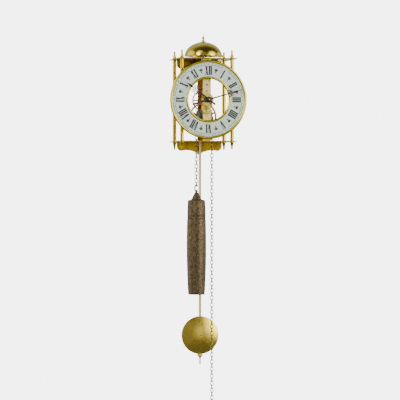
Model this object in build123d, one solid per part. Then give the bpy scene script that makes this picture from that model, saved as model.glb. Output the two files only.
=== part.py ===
from build123d import *
from math import cos, pi, radians, sin, sqrt
import os

# Skeleton wall clock with bell, pendulum, chain and weight, in millimetres.
# The origin is the middle of the hanging hole, on the rear face of the upper back plate.
# X points to the right, Y to the wall and Z up. Depths below are counted backwards from
# the face of the dial, and heights are counted upwards from the centre of the dial.

# Dial: the case is as high and as wide as the dial needs
dial_radius = 70.0
outer_rim_width = 4.4
inner_rim_width = 4.2
dial_band = 33.2
dial_ring_outer = dial_radius - outer_rim_width
dial_opening = dial_radius - dial_band
dial_ring_inner = dial_opening + inner_rim_width
enamel_thickness = 0.8
rim_rise = 1.2
dial_plate_thickness = 1.2
dial_foot_inset = 30.0
dial_foot_height = dial_radius - dial_foot_inset
dial_foot_radius = 2.5
dial_pin_radius = 1.2
dial_pin_length = 4.0

# Columns
column_radius = 3.25
column_inset = 24.25
column_x = dial_radius - column_inset
column_front = 11.0
column_before_wall = 1.0

# Case plates. The wall plane is the rear face of the shaped plates.
hang_depth = 69.0
plate_overhang = 7.25
plate_width = 2 * (column_x + plate_overhang)
plate_front = 0.5
plate_behind_wall = 9.5
plate_back = hang_depth + plate_behind_wall
plate_thickness = 1.5
plate_gap = 2.75
cage_half = dial_radius + plate_gap
plate_corner = 1.0
column_rear = hang_depth - column_before_wall

# Hanging hole, where the origin is
hang_drop = 11.75
hang_height = cage_half - hang_drop
hang_radius = 4.25
hang_slot_width = 4.2
hang_slot_rise = 8.5

# Finials
spigot_radius = 1.5
spigot_length = 6.0
finial_height = 15.3
finial_collar = 3.85
finial_collar_rise = 1.4
finial_foot = 3.3
finial_neck = 1.55
finial_cap = 2.1
finial_cap_rise = 4.4
drop_height = 13.5
drop_collar = 3.95
drop_collar_rise = 1.2
drop_waist = 2.4
drop_waist_at = 5.1
drop_tip = 1.5

# Shaped back plates
apron_inset = 4.25
apron_half_width = column_x - apron_inset
apron_thickness = 1.5
apron_end = 15.5
apron_corner = 8.5
apron_point = 24.5
lug_inner = 21.0
lug_outer = 35.0
lug_reach = 8.0
screw_radius = 1.5
screw_head = 2.6
screw_head_rise = 1.2

# Bell and its stud
bell_forward = 1.0
bell_depth = (plate_front + plate_back) / 2 - bell_forward
bell_radius = 33.5
bell_wall = 1.6
bell_lift = 6.05
bell_rim_height = cage_half + bell_lift
bell_rise = 25.5
stud_radius = 2.5
stud_thread = 1.5
stud_nut_radius = 4.0
stud_nut_rise = 3.2
washer_radius = 5.0
washer_thickness = 0.9
bell_finial_rise = 14.3
bell_finial_foot = 3.1

# Depths from the wall plane forwards: pendulum, cock, crutch and rear strip
swing_before_wall = 6.5
cock_before_swing = 5.3
crutch_before_cock = 3.2
strip_before_crutch = 4.0
swing_depth = hang_depth - swing_before_wall
cock_depth = swing_depth - cock_before_swing
crutch_depth = cock_depth - crutch_before_cock

# Movement strips, one behind the dial and one nearer the wall
strip_width = 14.5
strip_thickness = 1.6
strip_front = 11.0
strip_rear = crutch_depth - strip_before_crutch
tenon_width = 8.0
pillar_radius = 2.5
pillar_inset = 6.75
pillar_height = cage_half - pillar_inset
pillar_screw_radius = 2.2
ear_half = 4.0
cock_screw_spread = 11.0

# Fits: the running clearance of a shaft, the gap round a seated pin, the gap between
# pieces that move past each other
running_fit = 0.04
seat_gap = 0.02
end_play = 0.3
free_gap = 0.4

# Going train: teeth, leaves and modules
great_teeth = 70
centre_leaves = 10
great_module = 0.72
centre_teeth = 72
third_leaves = 8
centre_module = 0.525
third_teeth = 78
escape_leaves = 8
third_module = 0.3
escape_teeth = 30
escape_radius = 8.5
wheel_thickness = 1.2
great_thickness = 1.6

# Motion work behind the hands
cannon_leaves = 10
minute_teeth = 30
minute_leaves = 8
hour_teeth = 32
motion_module = 0.71

# Depths of the wheels: the motion work from the front, the train from the rear strip
hour_wheel_depth = 5.8
minute_wheel_depth = 8.2
great_depth = strip_rear - 10.6
centre_depth = strip_rear - 6.6
third_depth = strip_rear - 20.0
escape_depth = strip_rear - 15.0

# Arbor radii
centre_arbor_radius = 1.6
great_arbor_radius = 2.2
third_arbor_radius = 1.0
escape_arbor_radius = 0.8
anchor_arbor_radius = 1.1
pivot_share = 0.6
minute_stud_radius = 1.2
cannon_pipe_wall = 0.7
hour_pipe_wall = 0.7

# Chain and the wheel that carries it
chain_pitch = 6.35
chain_wire = 1.15
link_width = 6.0
link_slack = 0.25
sprocket_links = 14
chain_before_great = 7.4
chain_depth = great_depth - chain_before_great
weight_links = 20
free_links = 83
sprocket_groove_half = 1.0
sprocket_cheek = 1.2
sprocket_finger_reach = 2.05
sprocket_fingers = 7
finger_gap_radius = 3.9
sprocket_hub = 6.0
ratchet_radius = 9.0
ratchet_teeth = 18
ratchet_tooth = 1.3
ratchet_thickness = 1.2
sleeve_radius = 3.4
end_ring_radius = 5.2
end_ring_wire = 1.8

# Anchor, crutch and suspension
anchor_rise = 12.1
pallet_gap = 1.05
crutch_thickness = 1.0
crutch_drop = 50.0
spring_thickness = 0.2
spring_width = 5.0
post_over_anchor = 8.0
post_height = 6.8
cock_thickness = 1.6
cock_over_anchor = 12.5
cock_under_anchor = 4.0

# Pendulum
rod_width = 4.5
rod_thickness = 1.5
bob_radius = 34.0
bob_thickness = 12.0
bob_height = -420.6
bob_edge = 1.2
clamp_width = 7.0
clamp_under_anchor = 1.0
clamp_height = 10.0
nut_rise = 6.6
nut_radius = 5.0
rating_thread = 1.5
rating_tail = 11.5

# Weight and hook
hook_play = 0.45
hook_height = 14.0
hook_width = 8.0
hook_wire = 1.25
eye_ring_radius = 4.0
eye_wire = 1.1
cone_tip_radius = 3.0
cone_base = 9.0
cone_height = 13.2
weight_length = 169.0
weight_top_radius = 15.7
weight_mid_radius = 17.5
weight_low_radius = 15.0
groove_drops = (28.9, 33.9, 75.7, 81.9, 139.0, 144.0)
groove_depth = 0.7
groove_width = 1.6

# Hands
minute_angle = 73.2
hour_angle = 306.8
hand_thickness = 0.7
hour_hand_depth = -2.7
minute_hand_depth = -4.2
minute_tip = dial_radius - 5.2
minute_tail = 32.0
hour_tip = dial_radius - 20.0
hour_tail = 15.0
hand_boss = 4.7
hand_nut_radius = 4.6

# Hammer
hammer_x = 22.5
hammer_drop = 18.75
hammer_height = cage_half - hammer_drop
hammer_arbor_radius = 1.3
head_length = 11.0
head_radius = 2.0
head_inset = 1.2
head_depth = bell_depth - bell_radius + head_inset
head_under_rim = 1.1
head_height = bell_rim_height - head_under_rim
hammer_arm_gap = 1.8
hammer_arm_thickness = 1.6
foot_gap = 1.55
foot_rise = 2.8


def at(x, depth, height):
    """Point given by X, depth behind the dial face and height above the dial centre."""
    return Vector(x, depth - hang_depth, height - hang_height)


def front_plane(x, depth, height):
    """Upright plane facing the viewer, with its own X to the right and Y up."""
    return Plane(origin=at(x, depth, height), x_dir=(1, 0, 0), z_dir=(0, -1, 0))


def upright(sketch, depth, thickness, x=0.0, height=0.0):
    """Plate standing upright: the sketch is its front face, and it grows backwards."""
    return extrude(front_plane(x, depth, height) * sketch, amount=-thickness)


def level(sketch, low, thickness):
    """Plate lying level: the sketch is drawn in X and depth, and it grows upwards."""
    return extrude(Plane(origin=at(0, 0, low)) * sketch, amount=thickness)


def polygon(*points):
    """Closed sketch through a few corner points."""
    return make_face(Polyline(*points, close=True))


def turned_across(x, height, *points):
    """Turned piece on an axis from front to back, from points of radius and depth."""
    plane = Plane(origin=at(x, 0, height), x_dir=(1, 0, 0), z_dir=(0, 0, 1))
    return revolve(plane * polygon(*points), axis=Axis(at(x, 0, height), (0, 1, 0)))


def turned_upright(x, depth, sketch):
    """Turned piece on a vertical axis, from a sketch of radius and height."""
    return revolve(front_plane(x, depth, 0) * sketch, axis=Axis(at(x, depth, 0), (0, 0, 1)))


def shaft(radius, front, back, x=0.0, height=0.0):
    """Round bar from front to back."""
    return upright(Circle(radius), front, back - front, x, height)


def post(radius, low, high, x, depth):
    """Round vertical bar."""
    return level(Pos(x, depth) * Circle(radius), low, high - low)


def block(x_range, depth_range, height_range):
    """Box between two values of X, of depth and of height."""
    middle = [(a + b) / 2 for a, b in (x_range, depth_range, height_range)]
    size = [b - a for a, b in (x_range, depth_range, height_range)]
    return Pos(at(*middle)) * Box(*size)


def group(*shapes):
    """Several separate solids kept as one set."""
    return Compound([solid for shape in shapes for solid in shape.solids()])


def polar(radius, angle):
    """Point at a radius and an angle in degrees, counted from the right."""
    return (radius * cos(radians(angle)), radius * sin(radians(angle)))


# Teeth. A wheel has rounded pointed teeth, a pinion has radial leaves with round tips.
tooth_share = 1.4
leaf_share = 1.0
tooth_rise = 1.1
tooth_root = 1.25
leaf_rise = 0.6
leaf_root = 1.55
flank_steps = 4


def tooth_profile(pitch, module, share, rise, root):
    """Half tooth as pairs of radius and half angle in degrees, from root to tip."""
    half = share * module / 2
    points = [(pitch - root * module, half / pitch), (pitch, half / pitch)]
    for step in range(1, flank_steps + 1):
        turn = pi / 2 * step / flank_steps
        radius = pitch + rise * module * sin(turn)
        points.append((radius, max(half * cos(turn), 0.12 * module) / radius))
    return [(radius, angle * 180 / pi) for radius, angle in points]


def toothed(count, module, middle, share, rise, root):
    """Toothed disc with one tooth centred on the given angle."""
    half = tooth_profile(count * module / 2, module, share, rise, root)
    points = []
    for tooth in range(count):
        angle = middle + 360 * tooth / count
        points += [polar(radius, angle - turn) for radius, turn in half]
        points += [polar(radius, angle + turn) for radius, turn in reversed(half)]
    return polygon(*points)


def wheel_face(count, module, middle):
    """Wheel with a tooth at the given angle."""
    return toothed(count, module, middle, tooth_share, tooth_rise, tooth_root)


def pinion_face(count, module, gap):
    """Pinion with a gap between two leaves at the given angle."""
    return toothed(count, module, gap + 180 / count, leaf_share, leaf_rise, leaf_root)


def crossed(face, rim, hub, arms, arm_width):
    """Wheel with windows cut between its arms."""
    windows = Circle(rim) - Circle(hub)
    for arm in range(arms):
        windows -= Rot(0, 0, 90 + 360 * arm / arms) * Pos(rim / 2, 0) * Rectangle(rim, arm_width)
    return face - windows


def centre_distance(teeth, leaves, module):
    """Distance between the axes of a wheel and its pinion."""
    return (teeth + leaves) * module / 2


great_height = -centre_distance(great_teeth, centre_leaves, great_module)
third_height = centre_distance(centre_teeth, third_leaves, centre_module)
escape_height = third_height + centre_distance(third_teeth, escape_leaves, third_module)
minute_height = -centre_distance(minute_teeth, cannon_leaves, motion_module)
anchor_height = escape_height + anchor_rise
cock_screw_heights = [third_height + side * cock_screw_spread / 2 for side in (1, -1)]
strip_front_back = strip_front + strip_thickness
strip_rear_back = strip_rear + strip_thickness
hammer_arm_depth = strip_front_back + hammer_arm_gap
top_face = cage_half + plate_thickness
column_places = [(side * column_x, depth) for depth in (column_front, column_rear) for side in (-1, 1)]
link_thick = chain_wire / 2
link_half = (chain_pitch + link_slack) / 2
pitch_radius = chain_pitch * sprocket_links / (2 * pi)
sprocket_finger_radius = pitch_radius + sprocket_finger_reach
weight_x = -pitch_radius


def pivot_of(radius):
    """Radius of the thin end of an arbor."""
    return radius * pivot_share


def arbor(radius, height, front=strip_front, back=strip_rear_back, x=0.0):
    """Arbor between the two strips, with a thinner pivot in each of them."""
    thin = pivot_of(radius)
    inner_front = strip_front_back + end_play
    inner_back = strip_rear - end_play
    return turned_across(
        x,
        height,
        (0, front),
        (thin, front),
        (thin, inner_front),
        (radius, inner_front),
        (radius, inner_back),
        (thin, inner_back),
        (thin, back),
        (0, back),
    )


# Case plates

def case_plate():
    """Outline of the top and bottom plates with the four column holes."""
    depth = plate_back - plate_front
    sketch = Pos(0, plate_front + depth / 2) * RectangleRounded(plate_width, depth, plate_corner)
    for x, depth in column_places:
        sketch -= Pos(x, depth) * Circle(spigot_radius + seat_gap)
    for side in (-1, 1):
        x = side * (lug_inner + lug_outer) / 2
        sketch -= Pos(x, lug_screw_depth) * Circle(screw_radius + seat_gap)
    for depth in (strip_front, strip_rear):
        slot = Rectangle(tenon_width + 2 * seat_gap, strip_thickness + 2 * seat_gap)
        sketch -= Pos(0, depth + strip_thickness / 2) * slot
    return sketch


lug_screw_depth = hang_depth + lug_reach / 2
hammer_slot_half = 6.5
hammer_slot_depth = 3.8
chain_hole = 6.5
swing_slot_half = 17.0
swing_slot_depth = 8.0

top_sketch = case_plate()
top_sketch -= Pos(0, bell_depth) * Circle(stud_thread + seat_gap)
top_sketch -= Pos(hammer_x, head_depth) * Rectangle(2 * hammer_slot_half, hammer_slot_depth)
top_plate = level(top_sketch, cage_half, plate_thickness)

bottom_sketch = case_plate()
for side in (-1, 1):
    bottom_sketch -= Pos(side * pitch_radius, chain_depth) * Circle(chain_hole)
bottom_sketch -= Pos(0, swing_depth) * SlotOverall(2 * swing_slot_half, swing_slot_depth)
bottom_plate = level(bottom_sketch, -top_face, plate_thickness)


# Columns and finials

def column(x, depth):
    """Round column tapped at both ends for the finials."""
    bar = post(column_radius, -cage_half, cage_half, x, depth)
    for low in (-cage_half, cage_half - spigot_length):
        bar -= post(spigot_radius + seat_gap, low, low + spigot_length, x, depth)
    if depth == column_front:
        for side in (-1, 1):
            hole = dial_pin_radius + seat_gap
            end = dial_plate_back + dial_foot_length + dial_pin_length
            bar -= shaft(hole, column_front - column_radius, end, x, side * dial_foot_height)
    return bar


def top_finial(x, depth):
    """Finial with a collar, a tapering body and a pointed cap, on its threaded spigot."""
    cap_low = finial_height - finial_cap_rise
    heights = [
        (0, -plate_thickness - spigot_length + seat_gap),
        (spigot_radius, -plate_thickness - spigot_length + seat_gap),
        (spigot_radius, 0),
        (finial_collar, 0),
        (finial_collar, finial_collar_rise),
        (finial_foot * 0.9, finial_collar_rise + 0.3),
        (finial_foot, finial_collar_rise + 1.2),
        (2.45, 6.2),
        (finial_neck, cap_low - 0.2),
        (finial_cap, cap_low),
        (finial_cap, cap_low + 0.6),
        (1.5, cap_low + 1.9),
        (0.2, finial_height),
        (0, finial_height),
    ]
    points = [(radius, top_face + height) for radius, height in heights]
    return turned_upright(x, depth, polygon(*points))


def drop_finial(x, depth):
    """Drop below the bottom plate: a shoulder that tapers to a blunt tip."""
    heights = [
        (0, -plate_thickness - spigot_length + seat_gap),
        (spigot_radius, -plate_thickness - spigot_length + seat_gap),
        (spigot_radius, 0),
        (drop_collar, 0),
        (drop_collar, drop_collar_rise),
        (3.1, 2.6),
        (drop_waist, drop_waist_at),
        (1.9, 9.0),
        (drop_tip, drop_height - 0.9),
        (drop_tip * 0.6, drop_height),
        (0, drop_height),
    ]
    points = [(radius, -top_face - height) for radius, height in heights]
    return turned_upright(x, depth, polygon(*points))


# Shaped back plates

def apron_sketch():
    """Shaped lower edge with rounded ends and a point in the middle, hung from y = 0."""
    half = apron_half_width
    inner = half - apron_corner
    wave_x = (half + inner) * 0.295
    side_edges = []
    for side in (-1, 1):
        side_edges += [
            Line((side * half, 0), (side * half, -apron_end + apron_corner)),
            ThreePointArc(
                (side * half, -apron_end + apron_corner),
                (side * (half - 0.29 * apron_corner), -apron_end + 0.29 * apron_corner),
                (side * inner, -apron_end),
            ),
            ThreePointArc(
                (side * inner, -apron_end),
                (side * wave_x, -apron_end + 1.2),
                (side * wave_x / 2, -apron_end - 1.0),
            ),
            ThreePointArc(
                (side * wave_x / 2, -apron_end - 1.0),
                (side * wave_x / 5, -apron_end - 4.0),
                (0, -apron_point),
            ),
        ]
    return make_face([Line((-half, 0), (half, 0)), *side_edges])


def back_plate(top, lug_top):
    """Upright plate hung from a height, with two lugs turned back under a case plate."""
    plate = upright(apron_sketch(), hang_depth - apron_thickness, apron_thickness, height=top)
    for side in (-1, 1):
        x_range = sorted((side * lug_inner, side * lug_outer))
        depth_range = (hang_depth - apron_thickness, hang_depth + lug_reach)
        lug = block(x_range, depth_range, (lug_top - apron_thickness, lug_top))
        x = side * (lug_inner + lug_outer) / 2
        lug -= post(screw_radius + seat_gap, lug_top - apron_thickness, lug_top, x, lug_screw_depth)
        plate += lug
    return plate


hang_slot_sketch = Circle(hang_radius)
hang_slot_sketch += Pos(0, hang_slot_rise / 2) * Rectangle(hang_slot_width, hang_slot_rise)
hang_cut_front = hang_depth - apron_thickness
hang_cut = upright(hang_slot_sketch, hang_cut_front, apron_thickness, height=hang_height)
upper_back_plate = back_plate(cage_half, cage_half) - hang_cut
lower_back_plate = back_plate(-top_face, -top_face)


def plate_screw(x, lug_top):
    """Screw pushed up through a lug and the case plate on it, with its head below."""
    seat = lug_top - apron_thickness
    head = post(screw_head, seat - screw_head_rise, seat, x, lug_screw_depth)
    return head + post(screw_radius, seat, lug_top + plate_thickness, x, lug_screw_depth)


back_plate_screws = group(*[
    plate_screw(side * (lug_inner + lug_outer) / 2, lug_top)
    for side in (-1, 1)
    for lug_top in (cage_half, -top_face)
])


# Dial

def ring(outer, inner):
    """Flat ring."""
    return Circle(outer) - Circle(inner)


dial_plate_back = enamel_thickness + dial_plate_thickness
dial_plate = upright(ring(dial_radius - 0.4, dial_opening + 0.4), enamel_thickness, dial_plate_thickness)
dial_enamel_ring = upright(ring(dial_ring_outer, dial_ring_inner), 0, enamel_thickness)


def dial_rim(outer, inner):
    """Raised half-round rim beside the enamel."""
    middle = (outer + inner) / 2
    section = make_face([
        Line((inner, 0), (inner, enamel_thickness)),
        Line((inner, enamel_thickness), (outer, enamel_thickness)),
        Line((outer, enamel_thickness), (outer, 0)),
        ThreePointArc((outer, 0), (middle, -rim_rise), (inner, 0)),
    ])
    plane = Plane(origin=at(0, 0, 0), x_dir=(1, 0, 0), z_dir=(0, 0, 1))
    return revolve(plane * section, axis=Axis(at(0, 0, 0), (0, 1, 0)))


dial_rims = group(dial_rim(dial_radius, dial_ring_outer), dial_rim(dial_ring_inner, dial_opening))
dial_foot_length = column_front - column_radius - dial_plate_back


def dial_foot(x, height):
    """Foot on the back of the dial with a pin that enters the column."""
    foot = shaft(dial_foot_radius, dial_plate_back, dial_plate_back + dial_foot_length, x, height)
    pin_back = dial_plate_back + dial_foot_length + dial_pin_length - seat_gap
    return foot + shaft(dial_pin_radius, dial_plate_back, pin_back, x, height)


dial_feet = group(*[
    dial_foot(side * column_x, up * dial_foot_height) for side in (-1, 1) for up in (-1, 1)
])


# Bell

def bell_section():
    """Wall of the bell as a sketch of radius and height, open below."""
    hole = stud_thread + seat_gap
    outer = Ellipse(bell_radius, bell_rise)
    inner = Ellipse(bell_radius - bell_wall, bell_rise - bell_wall)
    quarter = Pos(hole + bell_radius / 2, bell_rise / 2) * Rectangle(bell_radius, bell_rise)
    return Pos(0, bell_rim_height) * ((outer - inner) & quarter)


bell = turned_upright(0, bell_depth, bell_section())
bell_top = bell_rim_height + bell_rise
bell_inside = bell_top - bell_wall
stud_low = cage_half - stud_nut_rise - 0.8
stud_high = bell_top + washer_thickness + 4.0
bell_stud = post(stud_thread, stud_low, stud_high, 0, bell_depth)
bell_stud += post(stud_radius, top_face, bell_inside - 0.1, 0, bell_depth)
stud_nut_hole = post(stud_thread + seat_gap, cage_half - stud_nut_rise, cage_half, 0, bell_depth)
stud_nut_sketch = Pos(0, bell_depth) * RegularPolygon(stud_nut_radius, 6)
bell_stud_nut = level(stud_nut_sketch, cage_half - stud_nut_rise, stud_nut_rise) - stud_nut_hole
bell_washer = post(washer_radius, bell_top, bell_top + washer_thickness, 0, bell_depth)
bell_washer -= post(stud_thread + seat_gap, bell_top, bell_top + washer_thickness, 0, bell_depth)
finial_low = bell_top + washer_thickness


def bell_finial_shape():
    """Small turned nut on top of the bell, drawn out to a spike."""
    heights = [
        (0, 0),
        (bell_finial_foot, 0),
        (bell_finial_foot, 1.3),
        (2.2, 2.2),
        (1.9, 4.2),
        (2.6, 5.0),
        (2.5, 5.9),
        (1.6, 7.6),
        (0.95, 10.4),
        (0.3, bell_finial_rise),
        (0, bell_finial_rise),
    ]
    points = [(radius, finial_low + height) for radius, height in heights]
    hole = post(stud_thread + seat_gap, finial_low, stud_high + seat_gap, 0, bell_depth)
    return turned_upright(0, bell_depth, polygon(*points)) - hole


# Movement strips

def strip_sketch(bores):
    """Long strip with a tenon at each end, an ear for the hammer and its bored holes."""
    sketch = Rectangle(strip_width, 2 * cage_half) + Rectangle(tenon_width, 2 * top_face)
    ear_reach = hammer_x + ear_half
    sketch += Pos(ear_reach / 2, hammer_height) * RectangleRounded(ear_reach, 2 * ear_half, ear_half - 1.0)
    for x, height, radius in bores:
        sketch -= Pos(x, height) * Circle(radius)
    return sketch


hole_of = {
    "great": (0, great_height, pivot_of(great_arbor_radius) + running_fit),
    "third": (0, third_height, pivot_of(third_arbor_radius) + running_fit),
    "escape": (0, escape_height, pivot_of(escape_arbor_radius) + running_fit),
    "hammer": (hammer_x, hammer_height, pivot_of(hammer_arbor_radius) + running_fit),
}
pillar_bores = [(0, side * pillar_height, screw_radius + seat_gap) for side in (-1, 1)]
cock_bores = [(0, height, screw_radius + seat_gap) for height in cock_screw_heights]
front_bores = [
    *hole_of.values(),
    *pillar_bores,
    *cock_bores,
    (0, 0, centre_arbor_radius + running_fit),
    (0, anchor_height, pivot_of(anchor_arbor_radius) + running_fit),
    (0, minute_height, minute_stud_radius + seat_gap),
]
rear_bores = [
    *hole_of.values(),
    *pillar_bores,
    (0, 0, pivot_of(centre_arbor_radius) + running_fit),
    (0, anchor_height, anchor_arbor_radius + free_gap),
]
cock_leg_x = 5.0
cock_leg_height = anchor_height + 8.5
cock_leg_radius = 1.8
rear_bores += [(side * cock_leg_x, cock_leg_height, 1.0 + seat_gap) for side in (-1, 1)]
movement_front_plate = upright(strip_sketch(front_bores), strip_front, strip_thickness)
movement_rear_plate = upright(strip_sketch(rear_bores), strip_rear, strip_thickness)


def pillar(height):
    """Distance pillar between the two strips, tapped at both ends."""
    bar = shaft(pillar_radius, strip_front_back, strip_rear, height=height)
    bar -= shaft(screw_radius + seat_gap, strip_front_back, strip_front_back + 5.0, height=height)
    return bar - shaft(screw_radius + seat_gap, strip_rear - 5.0, strip_rear, height=height)


def strip_screw(height, head_front, direction):
    """Screw through a strip: the head lies on the outer face of the strip."""
    stem_end = head_front + direction * (strip_thickness + 4.5)
    head_end = head_front - direction * screw_head_rise
    head = shaft(pillar_screw_radius, *sorted((head_front, head_end)), height=height)
    slot_size = (3 * pillar_screw_radius, 0.5, 0.5)
    slot_middle = at(0, head_end + direction * 0.25, height)
    head -= Pos(slot_middle) * Box(*slot_size)
    return head + shaft(screw_radius, *sorted((head_front, stem_end)), height=height)


movement_pillars = group(*[pillar(side * pillar_height) for side in (-1, 1)])
pillar_screws = group(*[
    strip_screw(side * pillar_height, face, direction)
    for side in (-1, 1)
    for face, direction in ((strip_front, 1), (strip_rear_back, -1))
])


def front_cock():
    """Small bridge behind the front strip that its two screws hold."""
    middle = sum(cock_screw_heights) / 2
    height = cock_screw_heights[0] - cock_screw_heights[1] + 8.0
    sketch = RectangleRounded(8.0, height, 3.5)
    bridge = upright(sketch, strip_front_back, 3.2, height=middle)
    for screw in cock_screw_heights:
        bridge -= shaft(screw_radius + seat_gap, strip_front_back, strip_front_back + 3.2, height=screw)
    opening = third_arbor_radius + free_gap
    return bridge - shaft(opening, strip_front_back, strip_front_back + 3.2, height=third_height)


def front_cock_screw(height):
    """Screw through the front strip into the small bridge."""
    head = shaft(pillar_screw_radius, strip_front - screw_head_rise * 0.6, strip_front, height=height)
    return head + shaft(screw_radius, strip_front, strip_front_back + 3.0, height=height)


front_cock_screws = group(*[front_cock_screw(height) for height in cock_screw_heights])
minute_stud = shaft(minute_stud_radius, hour_wheel_depth - 2.2, strip_front_back, height=minute_height)


# Going train

def with_bore(sketch, radius):
    """Disc with a seat for its arbor."""
    return sketch - Circle(radius + seat_gap)


great_pitch = great_teeth * great_module / 2
great_face = crossed(wheel_face(great_teeth, great_module, 90), great_pitch - 3.6, 14.0, 5, 3.0)
great_disc = with_bore(great_face, great_arbor_radius)
great_wheel = upright(great_disc, great_depth, great_thickness, height=great_height)
great_collet = turned_across(
    0,
    great_height,
    (great_arbor_radius + seat_gap, great_depth + great_thickness),
    (4.2, great_depth + great_thickness),
    (4.2, great_depth + great_thickness + 1.2),
    (great_arbor_radius + seat_gap, great_depth + great_thickness + 1.2),
)
great_wheel += great_collet
great_arbor = arbor(great_arbor_radius, great_height)

centre_pitch = centre_teeth * centre_module / 2
centre_face = crossed(wheel_face(centre_teeth, centre_module, 90), centre_pitch - 2.4, 4.6, 4, 2.4)
centre_wheel = upright(with_bore(centre_face, centre_arbor_radius), centre_depth, wheel_thickness)
centre_pinion_front = great_depth - 1.2
centre_pinion_face = pinion_face(centre_leaves, great_module, -90)
arbor_tip = minute_hand_depth - 2.8
centre_pivot = pivot_of(centre_arbor_radius)
centre_arbor = turned_across(
    0,
    0,
    (0, arbor_tip),
    (centre_arbor_radius - 0.4, arbor_tip),
    (centre_arbor_radius - 0.4, minute_hand_depth - 0.2),
    (centre_arbor_radius, minute_hand_depth - 0.2),
    (centre_arbor_radius, strip_rear - end_play),
    (centre_pivot, strip_rear - end_play),
    (centre_pivot, strip_rear_back),
    (0, strip_rear_back),
)
centre_arbor += upright(centre_pinion_face, centre_pinion_front, centre_depth - centre_pinion_front)

third_pitch = third_teeth * third_module / 2
third_face = crossed(wheel_face(third_teeth, third_module, 90), third_pitch - 1.7, 3.2, 4, 1.8)
third_wheel = upright(with_bore(third_face, third_arbor_radius), third_depth, 1.0, height=third_height)
third_arbor = arbor(third_arbor_radius, third_height)
third_leaf_face = pinion_face(third_leaves, centre_module, -90)
third_arbor += upright(third_leaf_face, centre_depth - 1.4, wheel_thickness + 2.8, height=third_height)

escape_arbor = arbor(escape_arbor_radius, escape_height)
escape_leaf_face = pinion_face(escape_leaves, third_module, -90)
escape_arbor += upright(escape_leaf_face, third_depth - 1.4, 3.8, height=escape_height)


def escape_face():
    """Escape wheel with long pointed teeth that lean forwards."""
    points = []
    step = 360 / escape_teeth
    for tooth in range(escape_teeth):
        angle = step * tooth
        points += [
            polar(escape_radius - 1.6, angle),
            polar(escape_radius, angle + 0.30 * step),
            polar(escape_radius, angle + 0.40 * step),
            polar(escape_radius - 1.6, angle + 0.72 * step),
        ]
    return polygon(*points)


escape_sketch = with_bore(crossed(escape_face(), escape_radius - 2.6, 2.2, 4, 1.1), escape_arbor_radius)
escape_wheel = upright(escape_sketch, escape_depth, 0.9, height=escape_height)


# Anchor, crutch and suspension

def anchor_sketch():
    """Arch over the escape wheel with a pallet at each end, drawn about its own arbor."""
    drop = anchor_height - escape_height
    clear = escape_radius + pallet_gap
    arch = Pos(0, -drop) * (Circle(clear + 3.0) - Circle(clear + 1.4))
    arch &= Pos(0, -2.6) * Rectangle(17.0, 7.0)
    sketch = arch + Circle(2.6)
    for side in (-1, 1):
        foot = polar(clear + 1.5, 90 - side * 42)
        sketch += Pos(foot[0], foot[1] - drop) * Rot(0, 0, -side * 42) * Rectangle(1.6, 3.0)
    return sketch - Circle(anchor_arbor_radius + seat_gap)


anchor = upright(anchor_sketch(), escape_depth - 0.5, 1.9, height=anchor_height)
anchor_thin = pivot_of(anchor_arbor_radius)
anchor_arbor = turned_across(
    0,
    anchor_height,
    (0, strip_front),
    (anchor_thin, strip_front),
    (anchor_thin, strip_front_back + end_play),
    (anchor_arbor_radius, strip_front_back + end_play),
    (anchor_arbor_radius, cock_depth - end_play),
    (anchor_thin, cock_depth - end_play),
    (anchor_thin, cock_depth + cock_thickness - 0.2),
    (0, cock_depth + cock_thickness - 0.2),
)


def crutch_shape():
    """Crutch: a hub, a long strip downwards and a fork that holds the pendulum rod."""
    strip = Pos(0, -crutch_drop / 2) * Rectangle(2.6, crutch_drop) + Circle(3.0)
    strip -= Circle(anchor_arbor_radius + seat_gap)
    arm = upright(strip, crutch_depth, crutch_thickness, height=anchor_height)
    low = anchor_height - crutch_drop
    inner = rod_width / 2 + free_gap
    outer = inner + 1.3
    yoke = block((-outer, outer), (crutch_depth, crutch_depth + crutch_thickness), (low, low + 3.0))
    back = swing_depth + rod_thickness / 2 + 1.6
    for side in (-1, 1):
        x_range = sorted((side * inner, side * outer))
        yoke += block(x_range, (crutch_depth, back), (low, low + 3.0))
    return arm + yoke


def pendulum_cock_shape():
    """Cock on two legs behind the rear strip that holds the anchor's rear pivot."""
    middle = anchor_height + (cock_over_anchor - cock_under_anchor) / 2
    sketch = RectangleRounded(14.0, cock_over_anchor + cock_under_anchor, 3.0)
    cock = upright(sketch, cock_depth, cock_thickness, height=middle)
    cock -= shaft(anchor_thin + running_fit, cock_depth, cock_depth + cock_thickness, height=anchor_height)
    for side in (-1, 1):
        x = side * cock_leg_x
        cock += shaft(cock_leg_radius, strip_rear_back, cock_depth, x, cock_leg_height)
        cock += shaft(1.0, strip_rear, strip_rear_back, x, cock_leg_height)
    return cock


pendulum_cock = pendulum_cock_shape()
post_half = 3.0
post_top = anchor_height + post_over_anchor
post_low = post_top - post_height
post_front = cock_depth + cock_thickness
post_back = swing_depth + spring_width / 2 + 0.6
spring_slit = spring_thickness / 2 + seat_gap
suspension_post = block((-post_half, post_half), (post_front, post_back), (post_low, post_top))
spring_top = post_top - 1.5
spring_low = anchor_height - 3.0
spring_front = swing_depth - spring_width / 2
spring_back = swing_depth + spring_width / 2
suspension_post -= block(
    (-spring_slit, spring_slit), (spring_front - seat_gap, post_back), (post_low, spring_top)
)
suspension_spring = block(
    (-spring_thickness / 2, spring_thickness / 2), (spring_front, spring_back), (spring_low, spring_top)
)


# Pendulum

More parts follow.
